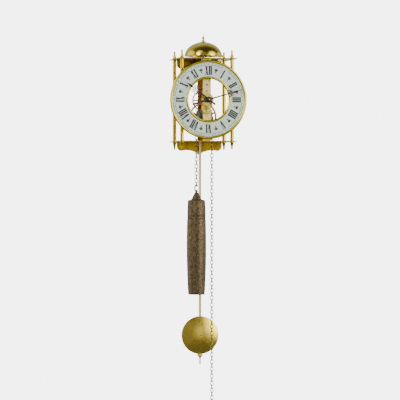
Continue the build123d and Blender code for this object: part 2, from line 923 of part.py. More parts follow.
clamp_slit = spring_thickness / 2 + 0.7
clamp_wall = 0.6
clamp_front = swing_depth - spring_width / 2 - clamp_wall
clamp_back = swing_depth + spring_width / 2 + clamp_wall
clamp_top = anchor_height - clamp_under_anchor
clamp_low = clamp_top - clamp_height
clamp_half = clamp_width / 2
pendulum_clamp = block((-clamp_half, clamp_half), (clamp_front, clamp_back), (clamp_low, clamp_top))
pendulum_clamp -= block((-clamp_slit, clamp_slit), (clamp_front, clamp_back), (spring_low - 0.8, clamp_top))
rod_front = swing_depth - rod_thickness / 2
rod_back = swing_depth + rod_thickness / 2
rod_top = spring_low - 1.6
pendulum_clamp -= block(
    (-rod_width / 2 - seat_gap, rod_width / 2 + seat_gap),
    (rod_front - seat_gap, rod_back + seat_gap),
    (clamp_low, rod_top),
)
nut_top = bob_height - bob_radius
nut_low = nut_top - nut_rise
pendulum_rod = block((-rod_width / 2, rod_width / 2), (rod_front, rod_back), (nut_top, rod_top))
pendulum_rod += post(rating_thread, nut_low - rating_tail, nut_top, 0, swing_depth)


def bob_shape():
    """Lens-shaped bob, thin at its edge, with a slot for the rod."""
    half = bob_thickness / 2
    rise = half - bob_edge
    sphere = (bob_radius ** 2 + rise ** 2) / (2 * rise)
    halfway = half - sphere + sqrt(sphere ** 2 - bob_radius ** 2 / 4)
    section = make_face([
        Line((0, swing_depth - half), (0, swing_depth + half)),
        ThreePointArc(
            (0, swing_depth + half),
            (bob_radius / 2, swing_depth + halfway),
            (bob_radius, swing_depth + bob_edge),
        ),
        Line((bob_radius, swing_depth + bob_edge), (bob_radius, swing_depth - bob_edge)),
        ThreePointArc(
            (bob_radius, swing_depth - bob_edge),
            (bob_radius / 2, swing_depth - halfway),
            (0, swing_depth - half),
        ),
    ])
    plane = Plane(origin=at(0, 0, bob_height), x_dir=(1, 0, 0), z_dir=(0, 0, 1))
    lens = revolve(plane * section, axis=Axis(at(0, 0, bob_height), (0, 1, 0)))
    slot_x = rod_width / 2 + 0.1
    slot_depth = rod_thickness / 2 + 0.1
    slot = block(
        (-slot_x, slot_x),
        (swing_depth - slot_depth, swing_depth + slot_depth),
        (bob_height - bob_radius, bob_height + bob_radius),
    )
    return lens - slot


def rating_nut_shape():
    """Knurled nut below the bob, tapering downwards."""
    bore = rating_thread + seat_gap
    points = [
        (bore, nut_top),
        (nut_radius, nut_top),
        (nut_radius, nut_top - 2.6),
        (2.4, nut_low + 1.0),
        (2.0, nut_low),
        (bore, nut_low),
    ]
    nut = turned_upright(0, swing_depth, polygon(*points))
    for groove in range(24):
        x, y = polar(nut_radius, groove * 15)
        nut -= post(0.3, nut_top - 2.6, nut_top, x, swing_depth + y)
    return nut


# Chain and the wheel that carries it

def link(position, along, across):
    """One closed link: position of its middle, its long direction and its wide direction."""
    half_straight = link_half + link_thick - (link_width / 2 - link_thick)
    bend = link_width / 2 - link_thick
    path = Polyline((-bend, -half_straight), (-bend, half_straight))
    wire_path = [
        path,
        ThreePointArc((-bend, half_straight), (0, half_straight + bend), (bend, half_straight)),
        Line((bend, half_straight), (bend, -half_straight)),
        ThreePointArc((bend, -half_straight), (0, -half_straight - bend), (-bend, -half_straight)),
    ]
    edges = [edge for piece in wire_path for edge in piece.edges()]
    profile = Plane(origin=(-bend, 0, 0), x_dir=(1, 0, 0), z_dir=(0, 1, 0)) * Circle(link_thick)
    wire = Wire(edges)
    solid = sweep(profile, path=wire)
    frame = Plane(origin=position, x_dir=across, z_dir=Vector(*across).cross(Vector(*along)))
    return frame * solid


def straight_run(x, count, first_across):
    """Hanging links: every second one is turned a quarter."""
    turns = [(1, 0, 0), (0, 1, 0)]
    links = []
    for number in range(count):
        across = turns[(number + first_across) % 2]
        links.append(link(at(x, chain_depth, great_height - number * chain_pitch), (0, 0, 1), across))
    return group(*links)


def wrapped_links():
    """Links that lie round the upper half of the chain wheel."""
    links = []
    for number in range(1, sprocket_links // 2):
        angle = 180 - number * 360 / sprocket_links
        x, z = polar(pitch_radius, angle)
        along = (sin(radians(angle)), 0, -cos(radians(angle)))
        across = (0, 1, 0) if number % 2 else (cos(radians(angle)), 0, sin(radians(angle)))
        links.append(link(at(x, chain_depth, great_height + z), along, across))
    return group(*links)


cheek_inner = link_width / 2 + free_gap
cheek_outer = cheek_inner + sprocket_cheek
ratchet_back = great_depth - free_gap
ratchet_front = ratchet_back - ratchet_thickness
groove_floor = pitch_radius - link_width / 2 - 0.9
shoulder = pitch_radius - link_thick - 0.7


def ratchet_face():
    """Ratchet with saw teeth."""
    points = []
    step = 360 / ratchet_teeth
    for tooth in range(ratchet_teeth):
        points.append(polar(ratchet_radius, tooth * step))
        points.append(polar(ratchet_radius - ratchet_tooth, (tooth + 0.12) * step))
    return polygon(*points)


def sprocket_shape():
    """Chain wheel: a groove for the edge-on links, shoulders for the flat ones, fingers
    on both cheeks and the ratchet on the side of the great wheel."""
    bore = great_arbor_radius + running_fit
    body = turned_across(
        0,
        great_height,
        (bore, chain_depth - cheek_inner),
        (shoulder, chain_depth - cheek_inner),
        (shoulder, chain_depth - sprocket_groove_half),
        (groove_floor, chain_depth - sprocket_groove_half),
        (groove_floor, chain_depth + sprocket_groove_half),
        (shoulder, chain_depth + sprocket_groove_half),
        (shoulder, chain_depth + cheek_inner),
        (bore, chain_depth + cheek_inner),
    )
    cheek = Circle(sprocket_finger_radius) - Circle(bore)
    for finger in range(sprocket_fingers):
        x, y = polar(sprocket_finger_radius + 0.6, 90 + (finger + 0.5) * 360 / sprocket_fingers)
        cheek -= Pos(x, y) * Circle(finger_gap_radius)
    for depth in (chain_depth - cheek_outer, chain_depth + cheek_inner):
        body += upright(cheek, depth, sprocket_cheek, height=great_height)
    hub_front = chain_depth + cheek_outer
    body += upright(ring(sprocket_hub, bore), hub_front, ratchet_front - hub_front, height=great_height)
    ratchet = ratchet_face() - Circle(bore)
    return body + upright(ratchet, ratchet_front, ratchet_thickness, height=great_height)


def arbor_sleeve_shape():
    """Sleeve on the arbor that keeps the chain wheel from sliding forwards."""
    front = strip_front_back + 2 * end_play
    back = chain_depth - cheek_outer - end_play
    sketch = ring(sleeve_radius, great_arbor_radius + seat_gap)
    return upright(sketch, front, back - front, height=great_height)


click_pivot_x = 9.6
click_pivot_y = 7.4


def click_shape():
    """Click on the great wheel that the ratchet slips under while the clock is wound."""
    tip = polar(ratchet_radius + free_gap, 84)
    sketch = Pos(click_pivot_x, click_pivot_y) * Circle(1.9)
    sketch += polygon(
        (click_pivot_x + 0.6, click_pivot_y + 1.9),
        (tip[0], tip[1] + 1.0),
        (tip[0], tip[1]),
        (click_pivot_x - 1.3, click_pivot_y - 0.3),
    )
    sketch -= Circle(ratchet_radius + free_gap)
    sketch -= Pos(click_pivot_x, click_pivot_y) * Circle(0.8 + seat_gap)
    return upright(sketch, ratchet_front, great_depth - ratchet_front, height=great_height)


def click_screw_shape():
    """Shouldered screw that holds the click on the great wheel."""
    height = great_height + click_pivot_y
    head = shaft(1.5, ratchet_front - 0.7, ratchet_front, click_pivot_x, height)
    return head + shaft(0.8, ratchet_front, great_depth, click_pivot_x, height)


free_low = great_height - (free_links - 1) * chain_pitch
end_ring_height = free_low - link_half - end_ring_radius + end_ring_wire / 2 + link_slack
end_ring_plane = front_plane(pitch_radius, chain_depth, end_ring_height)
end_ring = end_ring_plane * Torus(end_ring_radius, end_ring_wire / 2)


# Motion work and hands

cannon_bore = centre_arbor_radius + seat_gap
cannon_pipe = cannon_bore + cannon_pipe_wall
hour_bore = cannon_pipe + running_fit
hour_pipe = hour_bore + hour_pipe_wall
cannon_face = pinion_face(cannon_leaves, motion_module, -90) - Circle(cannon_bore)
cannon_back = strip_front - end_play
cannon_front = minute_wheel_depth - 0.6
cannon_pinion = upright(cannon_face, cannon_front, cannon_back - cannon_front)
cannon_tube = ring(cannon_pipe, cannon_bore)
cannon_pinion += upright(cannon_tube, minute_hand_depth, cannon_front - minute_hand_depth)

minute_face = crossed(wheel_face(minute_teeth, motion_module, 90), 8.4, 4.0, 4, 1.8)
minute_bore = minute_stud_radius + running_fit
minute_wheel = upright(minute_face - Circle(minute_bore), minute_wheel_depth, 1.0, height=minute_height)
minute_leaf_face = pinion_face(minute_leaves, motion_module, 90) - Circle(minute_bore)
minute_leaf_front = hour_wheel_depth - 0.8
minute_wheel += upright(
    minute_leaf_face, minute_leaf_front, minute_wheel_depth - minute_leaf_front, height=minute_height
)

hour_face = wheel_face(hour_teeth, motion_module, -90) - Circle(hour_bore)
hour_wheel = upright(hour_face, hour_wheel_depth, 1.0)
hour_wheel += upright(ring(hour_pipe, hour_bore), hour_hand_depth, hour_wheel_depth - hour_hand_depth)


def rings(*places):
    """Open rings, each given by X, Y, outer radius and inner radius."""
    shapes = []
    for x, y, outer, inner in places:
        shapes.append(Pos(x, y) * (Circle(outer) - Circle(inner)))
    return shapes


def mirrored(*points):
    """Shape whose right side is given from the foot to the tip, as half width and height."""
    left = [(-x, y) for x, y in points]
    return polygon(*points, *reversed(left))


def hand_tail(half, end):
    """Tail of a hand that widens to a round end."""
    low = half - end
    return mirrored((half, low), (half - 0.3, 0)) + Pos(0, low) * Circle(half)


def minute_hand_face():
    """Long hand: a slim arm, a pierced rosette, a spear tip and a long tail."""
    arm = mirrored((1.7, 0), (1.05, 34))
    spear = mirrored((0.6, 44.5), (1.35, 49.5), (0.75, 54), (0.2, minute_tip))
    sketch = arm + hand_tail(1.7, minute_tail) + spear + Circle(hand_boss)
    sketch += Pos(0, 39.6) * Rectangle(0.9, 12.0)
    for piece in rings(
        (0, 35.6, 2.5, 1.5), (-3.5, 38.6, 2.9, 1.9), (3.5, 38.6, 2.9, 1.9), (0, 43.6, 2.4, 1.4)
    ):
        sketch += piece
    for side in (-1, 1):
        sketch += Pos(side * 3.9, 43.2) * (Circle(1.9) - Circle(1.0))
    return sketch - Circle(cannon_bore)


def hour_hand_face():
    """Short hand: a broad pierced cross between the arm and a spear tip."""
    arm = mirrored((1.8, 0), (1.3, 21))
    spear = mirrored((0.7, 36), (2.3, 40.5), (0.9, 44.5), (0.25, hour_tip))
    sketch = arm + hand_tail(1.8, hour_tail) + spear + Circle(hand_boss + 0.4)
    sketch += Pos(0, 28.5) * Rectangle(1.0, 17.0)
    for piece in rings(
        (0, 22.9, 2.8, 1.7), (-4.9, 26.4, 3.6, 2.5), (4.9, 26.4, 3.6, 2.5), (0, 33.6, 2.9, 1.8)
    ):
        sketch += piece
    for side in (-1, 1):
        sketch += Pos(side * 5.0, 32.6) * (Circle(2.6) - Circle(1.5))
        sketch += Pos(side * 2.1, 29.5) * Rectangle(4.4, 0.9)
    return sketch - Circle(hour_pipe + seat_gap)


nut_back = minute_hand_depth - hand_thickness
minute_hand = upright(Rot(0, 0, -minute_angle) * minute_hand_face(), nut_back, hand_thickness)
hour_hand = upright(Rot(0, 0, -hour_angle) * hour_hand_face(), hour_hand_depth, hand_thickness)
hand_nut = turned_across(
    0,
    0,
    (centre_arbor_radius - 0.4 + seat_gap, nut_back),
    (hand_nut_radius, nut_back),
    (hand_nut_radius, nut_back - 0.7),
    (hand_nut_radius - 0.8, nut_back - 1.5),
    (2.6, nut_back - 2.0),
    (centre_arbor_radius - 0.4 + seat_gap, nut_back - 2.1),
)


# Hammer

hammer_arbor = arbor(hammer_arbor_radius, hammer_height, x=hammer_x)
foot_high = cage_half - foot_gap
foot_low = foot_high - foot_rise
stem_half = 1.2
stem_thin = 0.8
stem_top = head_height - head_radius + 1.2


def hammer_arm_shape():
    """Lever up from the arbor, forwards under the top plate and up into the head."""
    rise = foot_low - hammer_height
    sketch = Circle(3.0) + Pos(0, rise / 2) * Rectangle(3.0, rise)
    sketch += Pos(-5.5, 0) * Rectangle(11.0, 2.2)
    arm = upright(sketch, hammer_arm_depth, hammer_arm_thickness, hammer_x, hammer_height)
    arm_back = hammer_arm_depth + hammer_arm_thickness
    foot_half = 4.2
    foot_x = (hammer_x - foot_half, hammer_x + foot_half)
    arm += block(foot_x, (head_depth - stem_thin, arm_back), (foot_low, foot_high))
    stem_x = (hammer_x - stem_half, hammer_x + stem_half)
    stem_depth = (head_depth - stem_thin, head_depth + stem_thin)
    return arm + block(stem_x, stem_depth, (foot_low, stem_top))


def hammer_head_shape():
    """Small round hammer head with rounded ends, bored from below for the lever."""
    start = at(hammer_x - head_length / 2, head_depth, head_height)
    plane = Plane(origin=start, x_dir=(0, 1, 0), z_dir=(1, 0, 0))
    bar = extrude(plane * Circle(head_radius), amount=head_length)
    bar = chamfer(bar.edges().filter_by(GeomType.CIRCLE), 0.4)
    socket_x = stem_half + seat_gap
    socket_depth = stem_thin + seat_gap
    return bar - block(
        (hammer_x - socket_x, hammer_x + socket_x),
        (head_depth - socket_depth, head_depth + socket_depth),
        (head_height - head_radius - 0.1, stem_top + seat_gap),
    )


# Weight and hook

hook_top = great_height - (weight_links - 1) * chain_pitch - hook_play
hook_inside = hook_top - hook_height + 2 * hook_wire
eye_height = hook_inside + seat_gap + eye_wire - eye_ring_radius
cone_top = eye_height
shoulder_height = cone_top - cone_height
weight_low = shoulder_height - weight_length


def hook_shape():
    """Open hook: a loop for the chain above, a straight back on the left, a loop below."""
    bend = hook_width / 2 - hook_wire
    upper = hook_top - hook_wire - bend
    lower = hook_top - hook_height + hook_wire + bend
    start = polar(bend, 25)
    end = polar(bend, -25)
    path = [
        ThreePointArc((start[0], upper + start[1]), (0, upper + bend), (-bend, upper)),
        Line((-bend, upper), (-bend, lower)),
        ThreePointArc((-bend, lower), (0, lower - bend), (end[0], lower + end[1])),
    ]
    edges = [edge for piece in path for edge in piece.edges()]
    halves = [
        sweep(Plane(edge @ 0, z_dir=edge % 0) * Circle(hook_wire), path=edge) for edge in edges
    ]
    wire = halves[0] + halves[1] + halves[2]
    return front_plane(weight_x, chain_depth, 0) * wire


def groove(height):
    """Round-bottomed groove turned into the weight."""
    radius = weight_radius(height)
    plane = front_plane(weight_x, chain_depth, 0)
    section = Pos(radius + groove_width / 2 - groove_depth, height) * Circle(groove_width / 2)
    return revolve(plane * section, axis=Axis(at(weight_x, chain_depth, 0), (0, 0, 1)))


barrel_top = shoulder_height - 3.0
barrel_low = weight_low + 1.5
barrel_middle = (shoulder_height + weight_low) / 2


def weight_radius(height):
    """Radius of the barrel, largest at its middle."""
    if height > barrel_middle:
        end, edge = weight_top_radius, barrel_top
    else:
        end, edge = weight_low_radius, barrel_low
    share = (height - barrel_middle) / (edge - barrel_middle)
    return weight_mid_radius - (weight_mid_radius - end) * share ** 2


def weight_shape():
    """Cast weight: a cone with an eye, a rounded shoulder and a barrel with grooves."""
    steps = 12
    heights = [barrel_top + (barrel_low - barrel_top) * step / steps for step in range(steps + 1)]
    barrel = Spline(*[(weight_radius(height), height) for height in heights])
    section = make_face([
        Line((0, weight_low), (0, cone_top)),
        Line((0, cone_top), (cone_tip_radius, cone_top)),
        Line((cone_tip_radius, cone_top), (cone_base, shoulder_height + 1.0)),
        Line((cone_base, shoulder_height + 1.0), (cone_base + 1.0, shoulder_height)),
        Line((cone_base + 1.0, shoulder_height), (weight_top_radius - 3.0, shoulder_height)),
        ThreePointArc(
            (weight_top_radius - 3.0, shoulder_height),
            (weight_top_radius - 0.88, shoulder_height - 0.88),
            (weight_top_radius, barrel_top),
        ),
        *barrel.edges(),
        Line((weight_low_radius, barrel_low), (weight_low_radius - 1.5, weight_low)),
        Line((weight_low_radius - 1.5, weight_low), (0, weight_low)),
    ])
    body = turned_upright(weight_x, chain_depth, section)
    for drop in groove_drops:
        body -= groove(shoulder_height - drop)
    eye_plane = Plane(origin=at(weight_x, chain_depth, eye_height), x_dir=(0, 1, 0), z_dir=(1, 0, 0))
    return body + eye_plane * Torus(eye_ring_radius, eye_wire)


nodes = {
    "top_plate": top_plate,
    "bottom_plate": bottom_plate,
}
for name, (x, depth) in zip(("front_left", "front_right", "rear_left", "rear_right"), column_places):
    nodes["column_" + name] = column(x, depth)
nodes.update({
    "top_finials": group(*[top_finial(x, depth) for x, depth in column_places]),
    "drop_finials": group(*[drop_finial(x, depth) for x, depth in column_places]),
    "upper_back_plate": upper_back_plate,
    "lower_back_plate": lower_back_plate,
    "back_plate_screws": back_plate_screws,
    "dial_plate": dial_plate,
    "dial_enamel_ring": dial_enamel_ring,
    "dial_rims": dial_rims,
    "dial_feet": dial_feet,
    "bell": bell,
    "bell_stud": bell_stud,
    "bell_washer_and_nut": group(bell_washer, bell_stud_nut),
    "bell_finial": bell_finial_shape(),
    "movement_front_plate": movement_front_plate,
    "movement_rear_plate": movement_rear_plate,
    "movement_pillars": movement_pillars,
    "front_cock": front_cock(),
    "movement_screws": group(pillar_screws, front_cock_screws),
    "minute_stud": minute_stud,
    "pendulum_cock": pendulum_cock,
    "great_wheel": great_wheel,
    "great_arbor": great_arbor,
    "arbor_sleeve": arbor_sleeve_shape(),
    "click_and_screw": group(click_shape(), click_screw_shape()),
    "chain_sprocket": sprocket_shape(),
    "centre_wheel": centre_wheel,
    "centre_arbor": centre_arbor,
    "cannon_pinion": cannon_pinion,
    "minute_wheel": minute_wheel,
    "hour_wheel": hour_wheel,
    "third_wheel": third_wheel,
    "third_arbor": third_arbor,
    "escape_wheel": escape_wheel,
    "escape_arbor": escape_arbor,
    "anchor": anchor,
    "anchor_arbor": anchor_arbor,
    "crutch": crutch_shape(),
    "suspension_post": suspension_post,
    "suspension_spring": suspension_spring,
    "pendulum_clamp": pendulum_clamp,
    "pendulum_rod": pendulum_rod,
    "pendulum_bob": bob_shape(),
    "rating_nut": rating_nut_shape(),
    "hour_hand": hour_hand,
    "minute_hand": minute_hand,
    "hand_nut": hand_nut,
    "hammer_lever": hammer_arm_shape() + hammer_arbor,
    "hammer_head": hammer_head_shape(),
    "weight_hook": hook_shape(),
    "weight_body": weight_shape(),
    "chain_weight_run": straight_run(weight_x, weight_links, 0),
    "chain_over_wheel": wrapped_links(),
    "chain_free_run": straight_run(pitch_radius, free_links, 1),
    "chain_end_ring": end_ring,
})

os.makedirs("parts", exist_ok=True)
for name, shape in nodes.items():
    export_step(shape, f"parts/{name}.step")
print(len(nodes), "nodes")
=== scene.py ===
from math import cos, pi, radians, sin

import bmesh
import bpy
from mathutils import Matrix, Vector


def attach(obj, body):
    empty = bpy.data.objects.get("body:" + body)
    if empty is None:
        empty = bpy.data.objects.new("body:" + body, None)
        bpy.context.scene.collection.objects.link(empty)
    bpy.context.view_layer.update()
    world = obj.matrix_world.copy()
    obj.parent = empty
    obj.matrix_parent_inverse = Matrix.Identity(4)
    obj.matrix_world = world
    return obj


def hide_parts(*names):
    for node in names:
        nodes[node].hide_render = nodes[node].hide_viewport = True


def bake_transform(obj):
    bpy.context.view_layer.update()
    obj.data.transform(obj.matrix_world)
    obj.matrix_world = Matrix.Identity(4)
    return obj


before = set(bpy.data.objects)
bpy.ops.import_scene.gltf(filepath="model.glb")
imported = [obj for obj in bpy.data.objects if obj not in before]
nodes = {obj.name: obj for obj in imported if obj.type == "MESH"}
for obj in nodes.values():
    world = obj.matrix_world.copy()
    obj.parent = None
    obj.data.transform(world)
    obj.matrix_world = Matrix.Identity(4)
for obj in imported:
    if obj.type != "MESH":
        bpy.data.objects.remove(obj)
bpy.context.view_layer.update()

MM = 0.001

# Places, in millimetres: depths are counted backwards from the dial's face, and heights
# upwards from the dial's centre. The origin is the hanging hole.
HANG_DEPTH = 69.0
HANG_HEIGHT = 61.0
GREAT_HEIGHT = -28.8
CHAIN_DEPTH = 32.0
CHAIN_PITCH = 6.35
CHAIN_WIRE = 1.15
# the two hanging runs have heavier wire than the links on the wheel
HANGING_WIRE = 1.4
LINK_WIDTH = 6.0
LINK_SLACK = 0.25
SPROCKET_LINKS = 14
CHAIN_X = CHAIN_PITCH * SPROCKET_LINKS / (2 * pi)
WEIGHT_X = -CHAIN_X
WEIGHT_LINKS = 20
FREE_LINKS = 83

# Camera: angle to the clock's left, distance to the dial's plane, and where the dial's
# centre lies beside and above the line of sight
CAMERA_ANGLE = 14.0
CAMERA_DISTANCE = 4100.0
CAMERA_RIGHT = 15.14
CAMERA_ABOVE = 177.9
CAMERA_LENS = 208.4
CAMERA_SENSOR = 36.0


def at(x, depth, height):
    """Point of the frame, in metres, from X, depth and height in millimetres."""
    return Vector((x, depth - HANG_DEPTH, height - HANG_HEIGHT)) * MM


def place_camera():
    """Camera at the photograph's angle, level, with no shift."""
    angle = radians(CAMERA_ANGLE)
    ahead = Vector((sin(angle), cos(angle), 0))
    right = Vector((cos(angle), -sin(angle), 0))
    offset = -CAMERA_DISTANCE * ahead - CAMERA_RIGHT * right - CAMERA_ABOVE * Vector((0, 0, 1))
    data = bpy.data.cameras.new("camera")
    data.lens = CAMERA_LENS
    data.sensor_width = CAMERA_SENSOR
    data.clip_start = 0.1
    data.clip_end = 50.0
    camera = bpy.data.objects.new("camera", data)
    bpy.context.scene.collection.objects.link(camera)
    camera.location = at(0, 0, 0) + offset * MM
    camera.rotation_euler = (pi / 2, 0, -angle)
    bpy.context.scene.camera = camera


def mesh_object(name, vertices, faces, smooth=True):
    """New mesh object in the scene from points in metres."""
    mesh = bpy.data.meshes.new(name)
    mesh.from_pydata([tuple(v) for v in vertices], [], faces)
    mesh.validate()
    mesh.polygons.foreach_set("use_smooth", [smooth] * len(mesh.polygons))
    thing = bpy.data.objects.new(name, mesh)
    bpy.context.scene.collection.objects.link(thing)
    return thing


# Materials: scales of the noises are per metre, and depths are in metres

CLOUD_SCALE = 60.0
SMUDGE_SCALE = 160.0
GRAIN_SCALE = 900.0
GRAIN_DEPTH = 0.00002
PEEL_DEPTH = 0.00003


class Shader:
    """Small helper that builds one node material."""

    def __init__(self, name):
        self.material = bpy.data.materials.new(name)
        self.material.use_nodes = True
        self.tree = self.material.node_tree
        self.surface = self.tree.nodes["Principled BSDF"]
        self.place = self.tree.nodes.new("ShaderNodeTexCoord").outputs["Object"]

    def node(self, kind, **inputs):
        """Adds a node and sets or links its inputs by name."""
        made = self.tree.nodes.new(kind)
        for key, value in inputs.items():
            socket = made.inputs[key.replace("_", " ")]
            if isinstance(value, bpy.types.NodeSocket):
                self.tree.links.new(value, socket)
            else:
                socket.default_value = value
        return made

    def scaled(self, x, y, z):
        """Place with its own scale along each axis."""
        made = self.node("ShaderNodeMapping", Vector=self.place)
        made.inputs["Scale"].default_value = (x, y, z)
        return made.outputs["Vector"]

    def noise(self, vector, scale, detail=3.0, roughness=0.55):
        """Noise value at a scale given per metre."""
        made = self.node("ShaderNodeTexNoise", Vector=vector, Scale=scale, Detail=detail)
        made.inputs["Roughness"].default_value = roughness
        return made.outputs["Fac"]

    def ramp(self, value, low, high, start=0.3, end=0.7):
        """Value carried from one number to another between two points."""
        made = self.node("ShaderNodeMapRange", Value=value)
        made.inputs["From Min"].default_value = start
        made.inputs["From Max"].default_value = end
        made.inputs["To Min"].default_value = low
        made.inputs["To Max"].default_value = high
        return made.outputs["Result"]

    def blend(self, value, first, second):
        """Colour between two colours or sockets."""
        made = self.tree.nodes.new("ShaderNodeMix")
        made.data_type = "RGBA"
        for key, item in (("Factor", value), ("A", first), ("B", second)):
            socket = [s for s in made.inputs if s.name == key and s.enabled][0]
            if isinstance(item, bpy.types.NodeSocket):
                self.tree.links.new(item, socket)
            elif key == "Factor":
                socket.default_value = item
            else:
                socket.default_value = (*item, 1.0)
        return [s for s in made.outputs if s.enabled][0]

    def bump(self, height, strength, distance):
        """Bumps the surface by a height value."""
        made = self.node("ShaderNodeBump", Height=height, Strength=strength, Distance=distance)
        self.tree.links.new(made.outputs["Normal"], self.surface.inputs["Normal"])

    def connect(self, **inputs):
        """Sets or links inputs of the surface."""
        for key, value in inputs.items():
            socket = self.surface.inputs[key.replace("_", " ")]
            if isinstance(value, bpy.types.NodeSocket):
                self.tree.links.new(value, socket)
            else:
                socket.default_value = value


def metal(name, light, dark, rough=(0.16, 0.28), grain=(1, 1, 1), bump=0.08):
    """Metal with clouded tarnish, a fine directional grain and uneven polish."""
    shader = Shader(name)
    clouds = shader.noise(shader.place, CLOUD_SCALE, 4.0, 0.6)
    lines = shader.noise(shader.scaled(*grain), GRAIN_SCALE, 2.0, 0.5)
    tint = shader.blend(shader.ramp(clouds, 0.0, 1.0, 0.32, 0.68), light, dark)
    fine = shader.blend(shader.ramp(lines, 0.0, 0.35), tint, dark)
    smudge = shader.noise(shader.place, SMUDGE_SCALE, 3.0, 0.65)
    shader.connect(
        Base_Color=fine,
        Metallic=1.0,
        Roughness=shader.ramp(smudge, rough[0], rough[1]),
    )
    shader.bump(lines, bump, GRAIN_DEPTH)
    return shader.material


def painted(name, colour, second, rough, scale=300.0):
    """Paint with a faint orange peel and uneven sheen."""
    shader = Shader(name)
    cloud = shader.noise(shader.place, scale, 3.0, 0.6)
    shader.connect(
        Base_Color=shader.blend(shader.ramp(cloud, 0.0, 1.0), colour, second),
        Roughness=shader.ramp(cloud, rough[0], rough[1]),
    )
    shader.bump(cloud, 0.05, PEEL_DEPTH)
    return shader.material


def enamel():
    """Pale greenish enamel: a glossy coat over a faintly mottled ground."""
    shader = Shader("enamel")
    wide = shader.noise(shader.place, 45.0, 3.0, 0.6)
    specks = shader.noise(shader.place, 900.0, 2.0, 0.5)
    ground = shader.blend(shader.ramp(wide, 0.0, 1.0), (0.64, 0.80, 0.66), (0.70, 0.83, 0.71))
    ground = shader.blend(shader.ramp(specks, 0.0, 0.35), ground, (0.58, 0.72, 0.58))
    shader.connect(
        Base_Color=ground,
        Roughness=shader.ramp(wide, 0.22, 0.34),
        Coat_Weight=0.35,
        Coat_Roughness=0.12,
    )
    shader.bump(wide, 0.08, 0.00004)
    return shader.material


def cast_bronze():
    """Cast iron with an antique bronze finish: dark in the hollows, rubbed bright on the grain."""
    shader = Shader("cast_bronze")
    coarse = shader.noise(shader.place, 260.0, 6.0, 0.7)
    fine = shader.noise(shader.place, 900.0, 4.0, 0.7)
    pits = shader.node("ShaderNodeTexVoronoi", Vector=shader.place, Scale=520.0).outputs["Distance"]
    hollow = shader.ramp(coarse, 0.0, 1.0, 0.38, 0.62)
    base = shader.blend(hollow, (0.035, 0.024, 0.012), (0.16, 0.112, 0.052))
    raised = shader.ramp(fine, 0.0, 0.8, 0.5, 0.72)
    rubbed = shader.blend(raised, base, (0.42, 0.32, 0.16))
    worn = shader.blend(shader.ramp(pits, 0.5, 0.0, 0.0, 0.35), rubbed, (0.03, 0.022, 0.012))
    shader.connect(
        Base_Color=worn,
        Metallic=0.75,
        Roughness=shader.ramp(fine, 0.34, 0.58),
    )
    height = shader.node("ShaderNodeMath")
    height.operation = "ADD"
    shader.tree.links.new(coarse, height.inputs[0])
    shader.tree.links.new(pits, height.inputs[1])
    shader.bump(height.outputs[0], 0.55, 0.0003)
    return shader.material


def make_materials():
    """All finishes by name."""
    return {
        "column": metal(
            "column_brass", (0.78, 0.58, 0.02), (0.64, 0.44, 0.01), (0.12, 0.22), (1, 1, 0.05)
        ),
        # painted shade: the plate brass is a darker copy of the brass; its dark brown stands in for the
        # dark surroundings that the plates reflect
        "plate": metal(
            "plate_brass", (0.42, 0.27, 0.008), (0.32, 0.19, 0.004), (0.20, 0.30), (0.06, 1, 1)
        ),
        "bell": metal("bell_brass", (0.66, 0.52, 0.07), (0.52, 0.38, 0.04), (0.14, 0.24), (1, 1, 0.1)),
        "rim": metal("rim_gilt", (0.78, 0.66, 0.02), (0.62, 0.48, 0.01), (0.20, 0.30)),
        "strip": metal("strip_brass", (1.0, 0.84, 0.34), (0.94, 0.72, 0.22), (0.32, 0.44), (1, 1, 0.06)),
        # painted shade: a darker, browner copy of the brass for the parts behind the movement's front
        # plate, where shade falls
        "rear": metal("rear_brass_painted_shade", (0.50, 0.24, 0.05), (0.32, 0.13, 0.02), (0.22, 0.34), (1, 1, 0.06)),
        "wheel": metal("wheel_brass", (0.78, 0.44, 0.03), (0.58, 0.26, 0.012), (0.18, 0.30)),
        "motion": metal("motion_brass", (0.90, 0.68, 0.10), (0.72, 0.48, 0.05), (0.20, 0.32)),
        "steel": metal("arbor_steel", (0.56, 0.56, 0.54), (0.40, 0.41, 0.42), (0.16, 0.28)),
        "screw": metal("screw_steel", (0.46, 0.40, 0.32), (0.30, 0.26, 0.20), (0.24, 0.36)),
        "sprocket": metal("sprocket_steel", (0.42, 0.47, 0.46), (0.22, 0.26, 0.27), (0.24, 0.38)),
        "chain": metal("chain_brass", (0.46, 0.40, 0.09), (0.30, 0.25, 0.04), (0.30, 0.42)),
        "rod": metal(
            "rod_brass", (0.96, 0.82, 0.40), (0.88, 0.70, 0.28), (0.44, 0.54), (1, 1, 0.04), bump=0.0
        ),
        "bob": metal("bob_brass", (0.72, 0.55, 0.09), (0.60, 0.42, 0.05), (0.20, 0.30)),
        "black": painted("hand_black", (0.007, 0.007, 0.008), (0.013, 0.012, 0.014), (0.42, 0.55)),
        "ink": painted("dial_ink", (0.008, 0.008, 0.007), (0.020, 0.019, 0.017), (0.50, 0.65), 700.0),
        "enamel": enamel(),
        "iron": cast_bronze(),
    }


